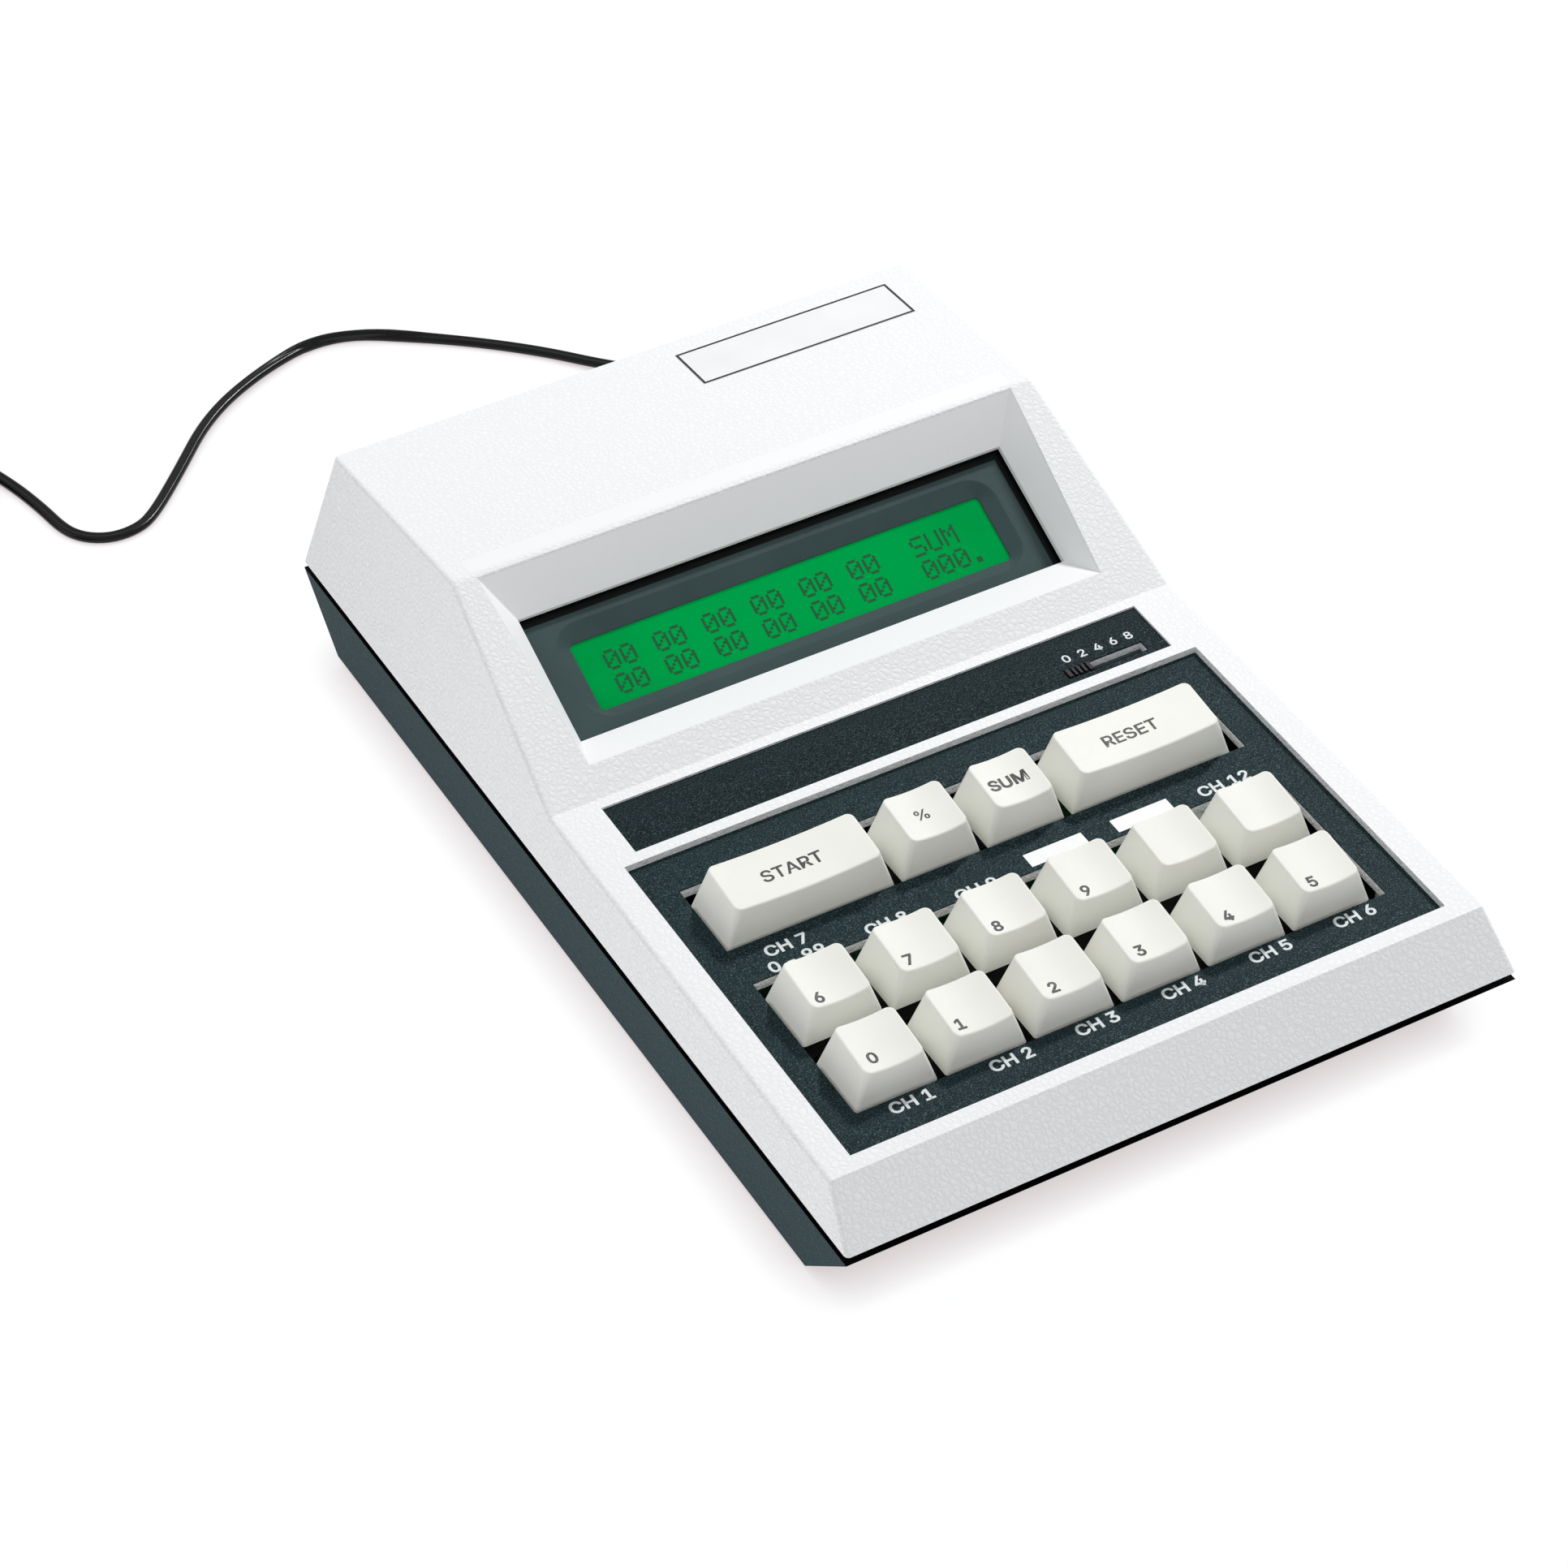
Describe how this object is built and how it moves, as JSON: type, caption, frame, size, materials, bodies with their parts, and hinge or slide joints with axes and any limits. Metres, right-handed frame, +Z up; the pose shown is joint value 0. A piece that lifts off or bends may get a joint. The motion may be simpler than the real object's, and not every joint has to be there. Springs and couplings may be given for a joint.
{
  "type": "differential cell counter",
  "caption": "Bench-top tally counter with a sloping two-tone case, sculptured push keys, a lit two-line display, a contrast slide and a thin flex to a wall adapter.",
  "frame": {"origin": "on the table under the middle of the case, the flex and its adapter left out", "axes": "+Z up, +Y from the key end to the back wall, +X to the user's right"},
  "size_m": [0.2771, 0.3359, 0.0555],
  "materials": {
    "shell_white": "fine leather grain, satin",
    "base_grey": "fine leather grain, satin",
    "screw_steel": "plated",
    "overlay_dark": "fine speckle, matt",
    "knob_black": "satin",
    "slider_grey": "satin",
    "bezel_dark": "satin",
    "lcd_glass": "lit green, smooth",
    "lcd_light": "diffusing",
    "board_green": "solder mask",
    "chip_black": "moulded",
    "plug_black": "fine grain",
    "cord_black": "satin",
    "blade_metal": "nickel plated",
    "switch_black": "moulded",
    "foot_rubber": "matt",
    "cap_ivory": "smooth satin",
    "plunger_cream": "moulded"
  },
  "bodies": {
    "case": {"upper_shell": "shell_white", "lower_shell": "base_grey", "case_screws": "screw_steel", "key_overlay": "overlay_dark", "contrast_overlay": "overlay_dark", "contrast_slider": "slider_grey", "display_bezel": "bezel_dark", "lcd_glass": "lcd_glass", "lcd_backlight": "lcd_light", "lcd_board": "board_green", "key_board": "board_green", "main_board": "board_green", "controller_chip": "chip_black", "sounder": "chip_black", "power_socket": "plug_black", "power_plug": "plug_black", "power_cord": "cord_black", "cord_coil": "cord_black", "wall_adapter": "plug_black", "adapter_blades": "blade_metal", "key_switches": "switch_black", "foot_front_left": "foot_rubber", "foot_front_right": "foot_rubber", "foot_back_left": "foot_rubber", "foot_back_right": "foot_rubber"},
    "contrast_thumb": {"contrast_knob": "knob_black"},
    "key_0": {"keycap_0": "cap_ivory", "plunger_0": "plunger_cream"},
    "key_1": {"keycap_1": "cap_ivory", "plunger_1": "plunger_cream"},
    "key_2": {"keycap_2": "cap_ivory", "plunger_2": "plunger_cream"},
    "key_3": {"keycap_3": "cap_ivory", "plunger_3": "plunger_cream"},
    "key_4": {"keycap_4": "cap_ivory", "plunger_4": "plunger_cream"},
    "key_5": {"keycap_5": "cap_ivory", "plunger_5": "plunger_cream"},
    "key_6": {"keycap_6": "cap_ivory", "plunger_6": "plunger_cream"},
    "key_7": {"keycap_7": "cap_ivory", "plunger_7": "plunger_cream"},
    "key_8": {"keycap_8": "cap_ivory", "plunger_8": "plunger_cream"},
    "key_9": {"keycap_9": "cap_ivory", "plunger_9": "plunger_cream"},
    "key_spare_left": {"keycap_spare_left": "cap_ivory", "plunger_spare_left": "plunger_cream"},
    "key_spare_right": {"keycap_spare_right": "cap_ivory", "plunger_spare_right": "plunger_cream"},
    "key_count": {"keycap_count": "cap_ivory", "plunger_count": "plunger_cream"},
    "key_percent": {"keycap_percent": "cap_ivory", "plunger_percent": "plunger_cream"},
    "key_total": {"keycap_total": "cap_ivory", "plunger_total": "plunger_cream"},
    "key_clear": {"keycap_clear": "cap_ivory", "plunger_clear": "plunger_cream"}
  },
  "joints": [
    {"name": "contrast_slide", "type": "slide", "parent": "case", "child": "contrast_thumb", "axis": [1, 0, 0], "range_m": [0, 0.012]},
    {"name": "press_0", "type": "slide", "parent": "case", "child": "key_0", "axis": [0, 0.0122, -0.9999], "range_m": [0, 0.004], "stiffness_N_per_m": 120, "springref_m": -0.0025},
    {"name": "press_1", "type": "slide", "parent": "case", "child": "key_1", "axis": [0, 0.0122, -0.9999], "range_m": [0, 0.004], "stiffness_N_per_m": 120, "springref_m": -0.0025},
    {"name": "press_2", "type": "slide", "parent": "case", "child": "key_2", "axis": [0, 0.0122, -0.9999], "range_m": [0, 0.004], "stiffness_N_per_m": 120, "springref_m": -0.0025},
    {"name": "press_3", "type": "slide", "parent": "case", "child": "key_3", "axis": [0, 0.0122, -0.9999], "range_m": [0, 0.004], "stiffness_N_per_m": 120, "springref_m": -0.0025},
    {"name": "press_4", "type": "slide", "parent": "case", "child": "key_4", "axis": [0, 0.0122, -0.9999], "range_m": [0, 0.004], "stiffness_N_per_m": 120, "springref_m": -0.0025},
    {"name": "press_5", "type": "slide", "parent": "case", "child": "key_5", "axis": [0, 0.0122, -0.9999], "range_m": [0, 0.004], "stiffness_N_per_m": 120, "springref_m": -0.0025},
    {"name": "press_6", "type": "slide", "parent": "case", "child": "key_6", "axis": [0, 0.0122, -0.9999], "range_m": [0, 0.004], "stiffness_N_per_m": 120, "springref_m": -0.0025},
    {"name": "press_7", "type": "slide", "parent": "case", "child": "key_7", "axis": [0, 0.0122, -0.9999], "range_m": [0, 0.004], "stiffness_N_per_m": 120, "springref_m": -0.0025},
    {"name": "press_8", "type": "slide", "parent": "case", "child": "key_8", "axis": [0, 0.0122, -0.9999], "range_m": [0, 0.004], "stiffness_N_per_m": 120, "springref_m": -0.0025},
    {"name": "press_9", "type": "slide", "parent": "case", "child": "key_9", "axis": [0, 0.0122, -0.9999], "range_m": [0, 0.004], "stiffness_N_per_m": 120, "springref_m": -0.0025},
    {"name": "press_spare_left", "type": "slide", "parent": "case", "child": "key_spare_left", "axis": [0, 0.0122, -0.9999], "range_m": [0, 0.004], "stiffness_N_per_m": 120, "springref_m": -0.0025},
    {"name": "press_spare_right", "type": "slide", "parent": "case", "child": "key_spare_right", "axis": [0, 0.0122, -0.9999], "range_m": [0, 0.004], "stiffness_N_per_m": 120, "springref_m": -0.0025},
    {"name": "press_count", "type": "slide", "parent": "case", "child": "key_count", "axis": [0, 0.0122, -0.9999], "range_m": [0, 0.004], "stiffness_N_per_m": 120, "springref_m": -0.0025},
    {"name": "press_percent", "type": "slide", "parent": "case", "child": "key_percent", "axis": [0, 0.0122, -0.9999], "range_m": [0, 0.004], "stiffness_N_per_m": 120, "springref_m": -0.0025},
    {"name": "press_total", "type": "slide", "parent": "case", "child": "key_total", "axis": [0, 0.0122, -0.9999], "range_m": [0, 0.004], "stiffness_N_per_m": 120, "springref_m": -0.0025},
    {"name": "press_clear", "type": "slide", "parent": "case", "child": "key_clear", "axis": [0, 0.0122, -0.9999], "range_m": [0, 0.004], "stiffness_N_per_m": 120, "springref_m": -0.0025}
  ]
}
